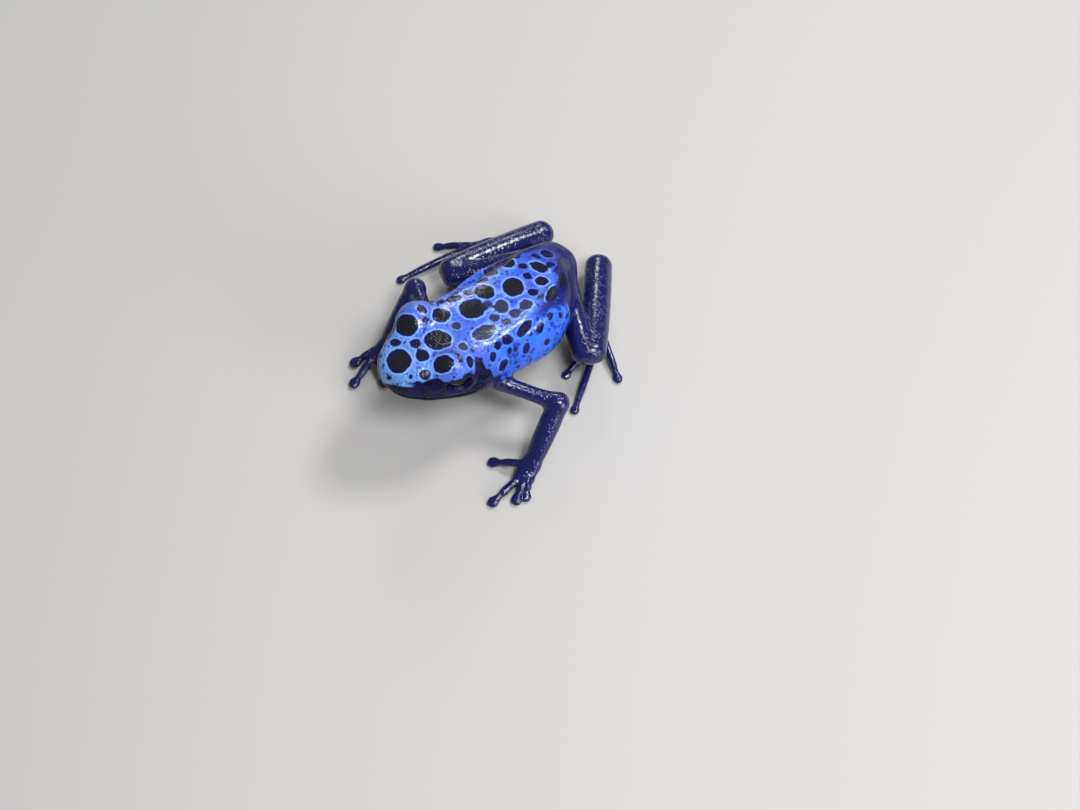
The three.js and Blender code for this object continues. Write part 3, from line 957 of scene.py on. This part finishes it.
def nearest_spots(points, spots):
    """The distance to the edge of the nearest spot, below 0 inside it, with its tone and its painted sheen.
    """
    distance = np.full(len(points), FAR)
    tone = np.zeros(len(points))
    sheen = np.zeros(len(points))
    for spot in spots:
        away = points - spot["centre"]
        near = np.flatnonzero(np.abs(away).max(axis=1) < (SPOT_DEPTH + 1) * spot["size"] + SPOT_MARGIN)
        place = away[near] @ np.linalg.inv(spot["axes"])
        edge = (np.linalg.norm(place, axis=1) - 1) * spot["size"]
        closer = near[edge < distance[near]]
        distance[closer] = edge[edge < distance[near]]
        tone[closer] = spot["tone"]
        sheen[closer] = spot["sheen"]
    return distance, tone, sheen


def place_on_body(points):
    """The distance from the snout, and the degrees above the side: 90 on the back, -90 below."""
    t = np.linspace(0, 1, AXIS_STEPS)
    centre, along, side, over = frames(BODY[:, 1:4], t)
    nearest = np.searchsorted(centre[:, 1], points[:, 1]).clip(0, len(t) - 1)
    for _ in range(3):
        ahead = ((points - centre[nearest]) * along[nearest]).sum(axis=1)
        nearest = (nearest + np.round(ahead / SNOUT_TO_VENT * len(t)).astype(int)).clip(0, len(t) - 1)
    away = points - centre[nearest]
    out = np.abs((away * side[nearest]).sum(axis=1))
    up = (away * over[nearest]).sum(axis=1)
    distance = np.interp(t[nearest], np.linspace(0, 1, len(BODY)), BODY[:, 0])
    return distance, np.degrees(np.arctan2(up, out))


def below_line(distance, degrees, line):
    """How far a place is below a line along the body, in millimetres. It is below 0 above the line."""
    place = np.stack([distance, np.radians(degrees) * HALF_WIDTH], axis=-1)
    line = np.array(line, float) * [1, np.radians(HALF_WIDTH)]
    away = np.full(len(place), np.inf)
    for start, end in zip(line[:-1], line[1:]):
        share = np.clip((place - start) @ (end - start) / ((end - start) @ (end - start)), 0, 1)
        away = np.minimum(away, np.linalg.norm(place - between(start, end, share[:, None]), axis=1))
    return away * np.sign(np.interp(distance, line[:, 0], line[:, 1]) - place[:, 1])


def mark_spots(skin, points, allowed):
    """Stores the distance to the nearest spot and its painted sheen. Returns its tone."""
    tree = BVHTree.FromObject(skin, bpy.context.evaluated_depsgraph_get())
    spots = [spot_in_photo(tree, spot, 0.0) for spot in BOLD_SPOTS + SMALL_SPOTS]
    # These spots carry a painted sheen
    spots += [spot_in_photo(tree, spot, 1.0) for spot in SHEEN_SPOTS]
    spots += scattered_spots(tree, points, normals_of(skin), allowed, spots)
    edge, tone, sheen = nearest_spots(points, spots)
    store(skin, "spot", edge)
    store(skin, "sheen", sheen)
    return tone


def wedge(distance, off_ridge):
    """The painted shade of the groove: a dark wedge between the ridge and the flank, which widens towards
    the hips.
    """
    widened = off_ridge + GROOVE_SHADE["by"] * smoothstep(distance, *GROOVE_SHADE["widens"])
    return window(distance, *GROOVE_SHADE["distance"]) * (
        smoothstep(widened, *GROOVE_SHADE["lower_edge"]) * (1 - smoothstep(off_ridge, *GROOVE_SHADE["upper_edge"]))
    )


def pale_and_sheen_share(distance, off_ridge):
    """How pale the blue is: most on the snout, and some along the ridge, where the pale band is a painted
    sheen.
    """
    pale = PAINTED_RIDGE_SHEEN["share"] * window(off_ridge, *PAINTED_RIDGE_SHEEN["off_ridge"])
    pale = pale * window(distance, *PAINTED_RIDGE_SHEEN["distance"])
    for share, zone in PALE_ZONES:
        pale = pale + share * (1 - smoothstep(distance, *zone))
    return pale


def mark_zones(skin, distance, degrees, off_trunk, tone):
    """Stores the tint, with the painted shade of the groove and the painted sheen along the ridge, the face
    and flank, how dry the skin is, and how strong spots and halos are.
    """
    on_trunk = 1 - smoothstep(off_trunk, *LIMB_ZONE)
    back = smoothstep(degrees, *BACK_ZONE["degrees"]) * smoothstep(distance, *BACK_ZONE["distance"])
    face = 1 - smoothstep(distance, *FACE_ZONE["distance"])
    flank = 1 - smoothstep(degrees, *FLANK_ZONE["degrees"])
    flank = flank * smoothstep(distance, *FLANK_ZONE["distance"])
    hips = 1 - smoothstep(off_trunk, *HIP_ZONE["off_trunk"])
    hips = hips * smoothstep(distance, *HIP_ZONE["distance"])
    rump = smoothstep(distance, *RUMP_ZONE)
    off_ridge = above_ridge(distance, degrees)
    # Painted shade of the groove between the ridge and the flank
    shade = wedge(distance, off_ridge)

    low_face = face * (1 - smoothstep(degrees, *FACE_ZONE["degrees"]))
    dry = np.maximum(DRY["back"] * back, DRY["face"] * low_face + DRY["flank"] * flank)
    store(skin, "dry", np.maximum(on_trunk * dry, DRY["hips"] * hips))
    store(skin, "face", on_trunk * face)
    store(skin, "flank", on_trunk * flank)
    store(skin, "halo", tone * (1 - rump) * (1 - FLANK_FADES["halo"] * flank) * (1 - shade))
    store(skin, "tone", tone * (1 - FLANK_FADES["black"] * flank))

    # The pale blue holds a painted sheen along the ridge
    tint = between(BACK, PALE, pale_and_sheen_share(distance, off_ridge)[:, None])
    # The painted shade of the groove darkens the tint to the rump's navy
    for colour, share in ((FLANK, flank), (RUMP, np.maximum(rump, shade))):
        tint = tint + (np.array(colour) - tint) * share[:, None]
    store(skin, "tint", tint)


def mark_skin(skin, trunk):
    """Stores the markings: how far each point is from bright skin, the spots, and the zones."""
    points = points_of(skin)
    distance, degrees = place_on_body(points)
    off_trunk = trunk.at(points)
    below = below_line(distance, degrees, BRIGHT_EDGE)
    below = below + EDGE_WAVES["reach"] * ripple(points, EDGE_WAVES["size"])
    on_limb = LIMB_EDGE["steepness"] * (off_trunk - LIMB_EDGE["off_trunk"])
    store(skin, "dark", np.clip(np.maximum(below, on_limb), *DARK_RANGE))
    allowed = (below < -SCATTER["above_edge"]) & (off_trunk < SCATTER["off_trunk"])
    tone = mark_spots(skin, points, allowed & (distance > SCATTER["from_snout"]))
    mark_zones(skin, distance, degrees, off_trunk, tone)


# Materials

class Paint:
    """A material whose nodes are added by short calls. A size of texture is in millimetres."""

    def __init__(self, name):
        self.material = bpy.data.materials.new(name)
        self.material.use_nodes = True
        self.tree = self.material.node_tree
        self.shader = self.tree.nodes["Principled BSDF"]
        self.place = self.node("ShaderNodeTexCoord").outputs["Object"]

    def node(self, kind, inputs=(), **settings):
        made = self.tree.nodes.new(kind)
        for name, value in settings.items():
            setattr(made, name, value)
        for name, value in dict(inputs).items():
            self.give(made.inputs[name], value)
        return made

    def give(self, socket, value):
        if isinstance(value, bpy.types.NodeSocket):
            self.tree.links.new(value, socket)
        elif isinstance(value, tuple) and len(value) == 3:
            socket.default_value = (*value, 1)
        else:
            socket.default_value = value

    def set(self, **inputs):
        for name, value in inputs.items():
            self.give(self.shader.inputs[name.replace("_", " ").title().replace("Ior", "IOR")], value)

    def number(self, name):
        return self.node("ShaderNodeAttribute", attribute_name=name).outputs["Fac"]

    def colour(self, name):
        return self.node("ShaderNodeAttribute", attribute_name=name).outputs["Color"]

    def math(self, operation, a, b):
        return self.node("ShaderNodeMath", {0: a, 1: b}, operation=operation).outputs[0]

    def ramp(self, value, low, high, start=0.0, end=1.0):
        """A smooth step from start to end as the value goes from low to high."""
        given = {"Value": value, "From Min": low, "From Max": high, "To Min": start, "To Max": end}
        return self.node("ShaderNodeMapRange", given, interpolation_type="SMOOTHSTEP").outputs["Result"]

    def mix(self, share, a, b):
        made = self.node("ShaderNodeMix", data_type="RGBA")
        for socket, value in zip((made.inputs[0], made.inputs[6], made.inputs[7]), (share, a, b)):
            self.give(socket, value)
        return made.outputs[2]

    def noise(self, size, detail=2.0):
        given = {"Vector": self.place, "Scale": 1 / (size * MM), "Detail": detail}
        return self.node("ShaderNodeTexNoise", given).outputs["Fac"]

    def patches(self, size, detail, low, high, start, end):
        """Noise that steps smoothly from one value to another."""
        return self.ramp(self.noise(size, detail), low, high, start, end)

    def wander(self, size, detail, reach):
        """Noise around 0, to move an edge to and fro."""
        return self.math("MULTIPLY", self.math("SUBTRACT", self.noise(size, detail), 0.5), reach)

    def cells(self, size):
        given = {"Vector": self.place, "Scale": 1 / (size * MM)}
        return self.node("ShaderNodeTexVoronoi", given).outputs["Distance"]

    def bump(self, height, depth, normal=None):
        """Bumps as deep as the given millimetres."""
        made = self.node("ShaderNodeBump", {"Height": height, "Distance": depth * MM, "Strength": 1.0})
        if normal is not None:
            self.give(made.inputs["Normal"], normal)
        return made.outputs["Normal"]


def bright_colour(paint, spot, wander, flank):
    """Blue skin with clouds, flecks and a pale ring around each spot."""
    blue = paint.mix(paint.patches(*CLOUDS), paint.colour("tint"), RUMP)
    cells = paint.math("ADD", paint.cells(FLECKS["size"]), paint.math("MULTIPLY", wander, FLECKS["wander"]))
    cells = paint.math("SUBTRACT", cells, paint.math("MULTIPLY", flank, FLECKS["more_on_flank"]))
    flecks = paint.math("MAXIMUM", paint.patches(*MOTTLES), paint.ramp(cells, *FLECKS["edge"]))
    blue = paint.mix(paint.math("MULTIPLY", flecks, FLECKS["share"]), blue, FLECK)
    strength = paint.math("MULTIPLY", paint.number("halo"), HALO_SHARE)
    return paint.mix(paint.math("MULTIPLY", paint.ramp(spot, *HALO_EDGE), strength), blue, HALO)


def dark_colour(paint):
    """Navy skin with bluer speckles, and the darker face."""
    limbs = paint.mix(paint.patches(*SPECKLES), NAVY, SPOT_BLUE)
    face = paint.mix(paint.patches(*FACE_PATCHES), FACE, NAVY)
    return paint.mix(paint.number("face"), limbs, face)


def spot_colour(paint, spot):
    """Black inside a blue rim on a large spot, blue on a small one, and lightened on some by a painted
    sheen.
    """
    black = paint.mix(paint.ramp(spot, *SPOT_CORE), SPOT_BLUE, SPOT_BLACK)
    inside = paint.mix(paint.number("tone"), SPOT_BLUE, black)
    return paint.mix(paint.math("MULTIPLY", paint.number("sheen"), SHEEN_SHARE), inside, SPOT_SHEEN)


def skin_grain(paint):
    """Fine round grains, and a finer unevenness over them."""
    grains = paint.ramp(paint.cells(GRAIN["size"]), 0.0, GRAIN["round"], 1.0, 0.0)
    coarse = paint.bump(grains, GRAIN["depth"])
    return paint.bump(paint.noise(FINE_GRAIN["size"], FINE_GRAIN["detail"]), FINE_GRAIN["depth"], coarse)


def skin_paint():
    paint = Paint("skin")
    wander = paint.wander(*SPOT_WANDER)
    spot = paint.math("ADD", paint.number("spot"), wander)
    dark = paint.math("ADD", paint.number("dark"), paint.wander(*DARK_WANDER))
    bright = bright_colour(paint, spot, wander, paint.number("flank"))
    plain = paint.mix(paint.ramp(dark, *DARK_EDGE), bright, dark_colour(paint))
    colour = paint.mix(paint.ramp(spot, *SPOT_EDGE), plain, spot_colour(paint, spot))
    wet = paint.ramp(paint.number("dry"), 0.0, 1.0, *WET_TO_DRY)
    wet = paint.math("MULTIPLY", wet, paint.ramp(spot, *SPOT_DULL))
    paint.set(base_color=colour, roughness=paint.patches(*ROUGHNESS), normal=skin_grain(paint))
    paint.set(specular_ior_level=wet)
    paint.set(coat_weight=paint.math("MULTIPLY", wet, COAT["share"]), coat_roughness=COAT["roughness"])
    return paint.material


def eye_paint():
    paint = Paint("eye")
    brown = paint.mix(paint.patches(*IRIS_PATCHES), IRIS_DARK, IRIS_BROWN)
    colour = paint.mix(paint.ramp(paint.number("pupil"), *PUPIL["edge"]), PUPIL_BLACK, brown)
    colour = paint.mix(paint.ramp(paint.number("iris"), *IRIS["rim"]), colour, EYE_RIM)
    paint.set(base_color=colour, roughness=IRIS["roughness"], specular_ior_level=IRIS["shine"])
    return paint.material


def floor_paint():
    paint = Paint("floor")
    paint.set(base_color=FLOOR_GREY, roughness=FLOOR_ROUGHNESS)
    return paint.material


# Camera, floor and lights

def make_camera():
    data = bpy.data.cameras.new("camera")
    data.sensor_fit = "HORIZONTAL"
    data.sensor_width = SENSOR
    data.lens = LENS
    data.clip_start = 0.01
    camera = bpy.data.objects.new("camera", data)
    turn = np.array(camera_axes()).T
    camera.matrix_world = Matrix.LocRotScale(Vector(CAMERA_AT * MM), Matrix(turn.tolist()), None)
    bpy.context.scene.collection.objects.link(camera)
    bpy.context.scene.camera = camera


def area_light(name, place, width, power):
    """A square light that looks at the frog."""
    data = bpy.data.lights.new(name, "AREA")
    data.size = width
    data.energy = power
    lamp = bpy.data.objects.new(name, data)
    lamp.location = place
    lamp.rotation_euler = (-place).to_track_quat("-Z", "Y").to_euler()
    bpy.context.scene.collection.objects.link(lamp)


def make_floor():
    corners = np.array([[-1, -1, 0], [1, -1, 0], [1, 1, 0], [-1, 1, 0]], float) * FLOOR_REACH
    floor = mesh_object("floor", corners, np.array([[0, 1, 2, 3]]))
    floor.data.materials.append(floor_paint())


def make_light():
    """The lights and the sky. The default view transform would take the colour out of the bright blue."""
    world = bpy.data.worlds.new("studio")
    world.use_nodes = True
    sky = world.node_tree.nodes["Background"]
    sky.inputs["Color"].default_value = WORLD_WHITE
    sky.inputs["Strength"].default_value = WORLD_STRENGTH
    bpy.context.scene.world = world
    bpy.context.scene.view_settings.view_transform = "Standard"
    for name, (direction, width, power) in LIGHTS.items():
        area_light(name, Vector(direction) * LIGHT_DISTANCE, width, power)


make_camera()
make_floor()
make_light()
skin, trunk = make_skin()
mark_skin(skin, trunk)
skin.data.materials.append(skin_paint())
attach(skin, "root")
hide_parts(*(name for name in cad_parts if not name.endswith("_eye")))
eye_material = eye_paint()
for side, sign in (("left", 1), ("right", -1)):
    eye = make_eye(side, sign)
    eye.data.materials.append(eye_material)
    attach(eye, "root")
    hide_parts(side + "_eye")
